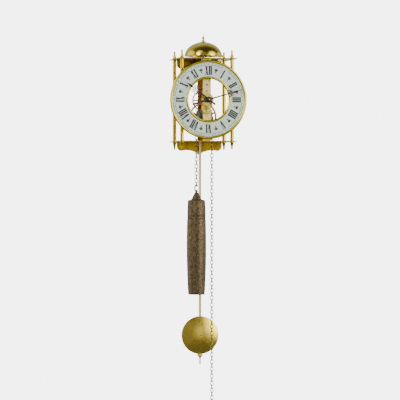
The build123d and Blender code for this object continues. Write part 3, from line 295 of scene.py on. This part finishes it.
FINISH_OF = {
    "column": ["column_front_left", "column_front_right", "column_rear_left", "column_rear_right",
               "top_finials", "drop_finials"],
    "plate": ["top_plate", "bottom_plate", "upper_back_plate", "lower_back_plate"],
    "bell": ["bell", "bell_finial"],
    "rim": ["dial_rims", "dial_feet", "dial_plate"],
    "enamel": ["dial_enamel_ring"],
    "strip": ["movement_front_plate", "front_cock", "hammer_head", "hammer_lever"],
    "rear": ["movement_rear_plate", "movement_pillars", "pendulum_cock", "suspension_post"],
    "wheel": ["great_wheel", "centre_wheel", "third_wheel", "escape_wheel"],
    "motion": ["hour_wheel", "minute_wheel"],
    "steel": ["great_arbor", "arbor_sleeve", "third_arbor", "escape_arbor", "anchor_arbor",
              "anchor", "centre_arbor", "cannon_pinion", "minute_stud", "bell_stud", "crutch",
              "suspension_spring"],
    "screw": ["movement_screws", "back_plate_screws", "bell_washer_and_nut", "click_and_screw"],
    "sprocket": ["chain_sprocket"],
    "black": ["hour_hand", "minute_hand", "hand_nut"],
    "chain": ["chain_weight_run", "chain_over_wheel", "chain_free_run", "chain_end_ring",
              "weight_hook"],
    "rod": ["pendulum_rod", "pendulum_clamp", "rating_nut"],
    "bob": ["pendulum_bob"],
    "iron": ["weight_body"],
}


def dress(thing, material):
    """Gives an object one material in all its slots."""
    if not thing.material_slots:
        thing.data.materials.append(material)
    for place in thing.material_slots:
        place.material = material


# Chain

def link_points(middle, along, across, wire, steps=10, sides=10):
    """Vertices and faces of one closed link of round wire."""
    bend = LINK_WIDTH / 2 - wire / 2
    half = (CHAIN_PITCH + LINK_SLACK) / 2 + wire / 2 - bend
    path = []
    for end in (1, -1):
        for step in range(steps + 1):
            angle = pi * step / steps
            out_x, out_y = end * cos(angle), end * sin(angle)
            path.append((bend * out_x, end * half + bend * out_y, out_x, out_y))
    side = along.cross(across)
    vertices = []
    for x, y, out_x, out_y in path:
        centre = middle + (across * x + along * y) * MM
        out = across * out_x + along * out_y
        for turn in range(sides):
            angle = 2 * pi * turn / sides
            vertices.append(centre + (out * cos(angle) + side * sin(angle)) * (wire / 2 * MM))
    count = len(path)
    faces = []
    for ring in range(count):
        after = (ring + 1) % count
        for turn in range(sides):
            other = (turn + 1) % sides
            faces.append((
                ring * sides + turn, after * sides + turn,
                after * sides + other, ring * sides + other,
            ))
    return vertices, faces


def chain_piece(name, links, wire):
    """One mesh of several links, each given by its middle, long and wide directions."""
    vertices = []
    faces = []
    for middle, along, across in links:
        first = len(vertices)
        points, quads = link_points(middle, along, across, wire)
        vertices += points
        faces += [tuple(first + corner for corner in quad) for quad in quads]
    return mesh_object(name, vertices, faces)


def hanging_links(x, count, first_across):
    """Hanging run: every second link is turned a quarter."""
    turns = (Vector((1, 0, 0)), Vector((0, 1, 0)))
    up = Vector((0, 0, 1))
    return [
        (at(x, CHAIN_DEPTH, GREAT_HEIGHT - number * CHAIN_PITCH), up, turns[(number + first_across) % 2])
        for number in range(count)
    ]


def wrapped_links():
    """Links that lie round the upper half of the chain wheel."""
    links = []
    for number in range(1, SPROCKET_LINKS // 2):
        angle = pi - number * 2 * pi / SPROCKET_LINKS
        middle = at(CHAIN_X * cos(angle), CHAIN_DEPTH, GREAT_HEIGHT + CHAIN_X * sin(angle))
        along = Vector((sin(angle), 0, -cos(angle)))
        out = Vector((cos(angle), 0, sin(angle)))
        across = Vector((0, 1, 0)) if number % 2 else out
        links.append((middle, along, across))
    return links


def make_chain(finish):
    """The three stretches of chain: the links round the wheel ride on the frame, and both hanging runs
    are left unattached.
    """
    weight_run = chain_piece("chain_to_weight", hanging_links(WEIGHT_X, WEIGHT_LINKS, 0), HANGING_WIRE)
    free_run = chain_piece("chain_free_side", hanging_links(CHAIN_X, FREE_LINKS, 1), HANGING_WIRE)
    wrap = chain_piece("chain_round_wheel", wrapped_links(), CHAIN_WIRE)
    for piece, node in (
        (weight_run, "chain_weight_run"),
        (free_run, "chain_free_run"),
        (wrap, "chain_over_wheel"),
    ):
        dress(piece, finish)
        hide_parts(node)
    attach(wrap, "frame")
    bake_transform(weight_run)
    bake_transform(free_run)


# Dial print

PRINT_RISE = 0.05
NUMERAL_INNER = 43.8
NUMERAL_OUTER = 59.6
THICK = 2.65
THIN = 1.0
SERIF = 0.75
SERIF_PAST = 0.1
SERIF_INSET = 0.15
V_FOOT_SHARE = 0.55
V_STROKE_GAP = 0.5
V_EDGE = 0.3
X_THICK_EDGE = 0.4
X_THIN_EDGE = 0.6
STEP_I = 3.25
WIDTH_V = 6.8
WIDTH_X = 6.6
TRACK_INNER = 60.9
TRACK_OUTER = 64.4
TRACK_LINE = 0.55
FIGURE_SIZE = 3.9
NUMERALS = ("XII", "I", "II", "III", "IIII", "V", "VI", "VII", "VIII", "IX", "X", "XI")


def stroke(x_low, x_high, low, high, wide):
    """Slanted bar whose ends are level: lower and upper middle X, heights and width."""
    half = wide / 2
    return [(x_low - half, low), (x_low + half, low), (x_high + half, high), (x_high - half, high)]


def letter_shapes(letter, x):
    """Polygons of one Roman letter that starts at x, and its advance."""
    low, high = NUMERAL_INNER, NUMERAL_OUTER
    if letter == "I":
        middle = x + STEP_I / 2
        return [stroke(middle, middle, low, high, THICK)], STEP_I
    if letter == "V":
        foot = x + WIDTH_V * V_FOOT_SHARE
        left = stroke(foot, x + THICK / 2 + V_EDGE, low, high, THICK)
        right = stroke(foot + V_STROKE_GAP, x + WIDTH_V - THIN / 2 - V_EDGE, low, high, THIN)
        return [left, right], WIDTH_V
    thick_left = x + THICK / 2 + X_THICK_EDGE
    thick_right = x + WIDTH_X - THICK / 2 - X_THICK_EDGE
    thin_left = x + THIN / 2 + X_THIN_EDGE
    thin_right = x + WIDTH_X - THIN / 2 - X_THIN_EDGE
    left = stroke(thick_right, thick_left, low, high, THICK)
    right = stroke(thin_left, thin_right, low, high, THIN)
    return [left, right], WIDTH_X


def serif_bars(letter, x, advance):
    """Fine serif lines at both ends of one letter, or at the top alone for V."""
    ends = [
        (NUMERAL_INNER - SERIF_PAST, NUMERAL_INNER + SERIF),
        (NUMERAL_OUTER - SERIF, NUMERAL_OUTER + SERIF_PAST),
    ]
    if letter == "V":
        ends = ends[1:]
    left = x + SERIF_INSET
    right = x + advance - SERIF_INSET
    return [[(left, low), (right, low), (right, high), (left, high)] for low, high in ends]


def numeral(text):
    """Polygons of one numeral, drawn upright at twelve o'clock."""
    widths = {"I": STEP_I, "V": WIDTH_V, "X": WIDTH_X}
    x = -sum(widths[letter] for letter in text) / 2
    shapes = []
    for letter in text:
        polygons, advance = letter_shapes(letter, x)
        shapes += polygons + serif_bars(letter, x, advance)
        x += advance
    return shapes


def turned(shape, angle):
    """Polygon turned clockwise about the dial's centre."""
    c, s = cos(angle), sin(angle)
    return [(x * c + y * s, y * c - x * s) for x, y in shape]


def arc_points(radius, start, end, steps):
    """Points of an arc between two clockwise angles from twelve."""
    angles = [start + (end - start) * i / steps for i in range(steps + 1)]
    return [(radius * sin(angle), radius * cos(angle)) for angle in angles]


def arc_band(inner, outer, start, end, steps):
    """Polygon of a thin arc between two clockwise angles from twelve."""
    return arc_points(outer, start, end, steps) + arc_points(inner, start, end, steps)[::-1]


def oval(x, y, wide, high, steps=14):
    """Polygon of an ellipse."""
    angles = [2 * pi * i / steps for i in range(steps)]
    return [(x + wide * cos(angle), y + high * sin(angle)) for angle in angles]


def half_hour_mark():
    """Small three-lobed bud on a stem with a foot."""
    return [
        stroke(0, 0, 48.6, 53.0, 1.5),
        [(-1.7, 48.2), (1.7, 48.2), (1.2, 49.2), (-1.2, 49.2)],
        oval(0, 54.6, 1.1, 2.0),
        oval(-2.1, 53.9, 1.1, 1.5),
        oval(2.1, 53.9, 1.1, 1.5),
        [(-2.6, 51.6), (2.6, 51.6), (2.2, 52.7), (-2.2, 52.7)],
    ]


def track_shapes():
    """Minute track: arcs and ticks between the five-minute figures."""
    minute = 2 * pi / 60
    shapes = []
    for five in range(12):
        start = (five * 5 + 0.95) * minute
        end = (five * 5 + 4.05) * minute
        for radius in (TRACK_INNER, TRACK_OUTER):
            shapes.append(arc_band(radius - TRACK_LINE / 2, radius + TRACK_LINE / 2, start, end, 10))
        for tick in (1, 2, 3, 4):
            bar = stroke(0, 0, TRACK_INNER, TRACK_OUTER, TRACK_LINE)
            shapes.append(turned(bar, (five * 5 + tick) * minute))
    return shapes


def print_object(name, shapes):
    """Thin raised print on the enamel from flat polygons."""
    mesh = bmesh.new()
    back = at(0, 0, 0).y
    front = back - PRINT_RISE * MM
    for shape in shapes:
        points = [at(x, 0, y) for x, y in shape]
        ahead = [mesh.verts.new((p.x, front, p.z)) for p in points]
        behind = [mesh.verts.new((p.x, back, p.z)) for p in points]
        mesh.faces.new(ahead)
        mesh.faces.new(list(reversed(behind)))
        for number in range(len(points)):
            after = (number + 1) % len(points)
            mesh.faces.new((ahead[after], ahead[number], behind[number], behind[after]))
    bmesh.ops.recalc_face_normals(mesh, faces=mesh.faces)
    data = bpy.data.meshes.new(name)
    mesh.to_mesh(data)
    mesh.free()
    thing = bpy.data.objects.new(name, data)
    bpy.context.scene.collection.objects.link(thing)
    return thing


def figures_object(name):
    """Five-minute figures, read from the centre, as a thin raised print."""
    depsgraph = bpy.context.evaluated_depsgraph_get()
    pieces = []
    for five in range(12):
        curve = bpy.data.curves.new("figure", "FONT")
        curve.body = str(five * 5) if five else "60"
        curve.size = FIGURE_SIZE * MM
        curve.align_x = "CENTER"
        curve.align_y = "CENTER"
        curve.extrude = PRINT_RISE * MM / 2
        curve.resolution_u = 3
        thing = bpy.data.objects.new("figure", curve)
        bpy.context.scene.collection.objects.link(thing)
        bpy.context.view_layer.update()
        mesh = bpy.data.meshes.new_from_object(thing.evaluated_get(depsgraph))
        angle = 2 * pi * five / 12
        middle = (TRACK_INNER + TRACK_OUTER) / 2
        stand = Matrix.Rotation(pi / 2, 4, "X")
        turn = Matrix.Rotation(angle, 4, "Y")
        place = at(middle * sin(angle), 0, middle * cos(angle))
        place.y -= PRINT_RISE * MM / 2
        mesh.transform(Matrix.Translation(place) @ turn @ stand)
        pieces.append(mesh)
        bpy.data.objects.remove(thing)
    joined = bmesh.new()
    for mesh in pieces:
        joined.from_mesh(mesh)
    bmesh.ops.remove_doubles(joined, verts=joined.verts, dist=1e-7)
    data = bpy.data.meshes.new(name)
    joined.to_mesh(data)
    joined.free()
    thing = bpy.data.objects.new(name, data)
    bpy.context.scene.collection.objects.link(thing)
    return thing


def make_dial_print(ink):
    """Numerals, half-hour marks, minute track and figures."""
    numerals = []
    marks = []
    for hour, text in enumerate(NUMERALS):
        angle = 2 * pi * hour / 12
        numerals += [turned(shape, angle) for shape in numeral(text)]
        marks += [turned(shape, angle + pi / 12) for shape in half_hour_mark()]
    pieces = [
        print_object("dial_numerals", numerals),
        print_object("dial_half_hour_marks", marks),
        print_object("dial_minute_track", track_shapes()),
        figures_object("dial_five_minute_figures"),
    ]
    for piece in pieces:
        dress(piece, ink)
        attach(piece, "frame")


# Room: floor, background and lights, in metres

LIGHT_AIM = (0, -0.03, -0.2)
FLOOR_HEIGHT = -1.15
FLOOR_HALF = 2.5


def softbox(name, place, size, power, colour):
    """Area light that looks at the clock."""
    data = bpy.data.lights.new(name, "AREA")
    data.shape = "RECTANGLE"
    data.size, data.size_y = size
    data.energy = power
    data.color = colour
    light = bpy.data.objects.new(name, data)
    bpy.context.scene.collection.objects.link(light)
    light.location = place
    aim = Vector(LIGHT_AIM) - Vector(place)
    light.rotation_euler = aim.to_track_quat("-Z", "Y").to_euler()


# Bright areas that only the clock sees: azimuth to the right of straight ahead, elevation,
# inner and outer half angle, all in degrees, and brightness. Each brings some ambient light too.
PANELS = (
    (46, 16, 12, 30, 3.0),
    (-100, 12, 16, 36, 1.6),
    (-18, 8, 18, 40, 0.26),
    (15, 2, 4, 14, 1.1),
    (96, 4, 10, 24, 1.3),
    (-40, 40, 6, 18, 1.6),
    (180, 10, 40, 88, 0.75),
    (0, -75, 30, 70, 0.16),
)
AMBIENT = 0.07
BACKGROUND = 5.5


def panel(tree, direction, azimuth, elevation, inner, outer, value):
    """Brightness of one soft-edged round area of the surroundings."""
    turn, rise = radians(azimuth), radians(elevation)
    dot = tree.nodes.new("ShaderNodeVectorMath")
    dot.operation = "DOT_PRODUCT"
    dot.inputs[1].default_value = (sin(turn) * cos(rise), -cos(turn) * cos(rise), sin(rise))
    tree.links.new(direction, dot.inputs[0])
    edge = tree.nodes.new("ShaderNodeMapRange")
    edge.interpolation_type = "SMOOTHSTEP"
    edge.inputs["From Min"].default_value = cos(radians(outer))
    edge.inputs["From Max"].default_value = cos(radians(inner))
    edge.inputs["To Max"].default_value = value
    tree.links.new(dot.outputs["Value"], edge.inputs["Value"])
    return edge.outputs["Result"]


def make_world():
    """Pale background for the camera, and a studio of soft panels for everything else."""
    world = bpy.data.worlds.new("studio")
    bpy.context.scene.world = world
    world.use_nodes = True
    tree = world.node_tree
    seen = tree.nodes["Background"]
    seen.inputs["Color"].default_value = (1.0, 1.0, 1.0, 1.0)
    seen.inputs["Strength"].default_value = BACKGROUND
    studio = tree.nodes.new("ShaderNodeBackground")
    studio.inputs["Color"].default_value = (1.0, 0.99, 0.97, 1.0)
    direction = tree.nodes.new("ShaderNodeTexCoord").outputs["Generated"]
    total = None
    for values in PANELS:
        added = tree.nodes.new("ShaderNodeMath")
        added.operation = "ADD"
        added.inputs[1].default_value = AMBIENT
        tree.links.new(panel(tree, direction, *values), added.inputs[0])
        if total:
            tree.links.new(total, added.inputs[1])
        total = added.outputs["Value"]
    tree.links.new(total, studio.inputs["Strength"])
    choice = tree.nodes.new("ShaderNodeMixShader")
    rays = tree.nodes.new("ShaderNodeLightPath")
    tree.links.new(rays.outputs["Is Camera Ray"], choice.inputs["Fac"])
    tree.links.new(studio.outputs["Background"], choice.inputs[1])
    tree.links.new(seen.outputs["Background"], choice.inputs[2])
    tree.links.new(choice.outputs["Shader"], tree.nodes["World Output"].inputs["Surface"])


def make_room():
    """Pale floor well below the clock and two soft lights."""
    corners = ((-1, -1), (1, -1), (1, 1), (-1, 1))
    points = [(x * FLOOR_HALF, y * FLOOR_HALF, FLOOR_HEIGHT) for x, y in corners]
    floor = mesh_object("floor", points, [(0, 1, 2, 3)], smooth=False)
    shader = Shader("floor_pale")
    cloud = shader.noise(shader.place, 3.0)
    pale = shader.blend(cloud, (0.84, 0.84, 0.84), (0.88, 0.88, 0.88))
    shader.connect(Base_Color=pale, Roughness=0.7)
    dress(floor, shader.material)
    # the clock's reflections show the dim underside of the studio, not the floor
    floor.visible_glossy = False
    softbox("key_light", (-1.9, -1.9, 0.9), (0.9, 1.4), 30.0, (1.0, 0.98, 0.95))
    softbox("fill_light", (1.9, -2.0, 0.3), (0.9, 1.6), 25.0, (1.0, 0.99, 0.97))


place_camera()
finishes = make_materials()
for finish_name, members in FINISH_OF.items():
    for member in members:
        dress(nodes[member], finishes[finish_name])
make_chain(finishes["chain"])
make_dial_print(finishes["ink"])
make_room()
make_world()
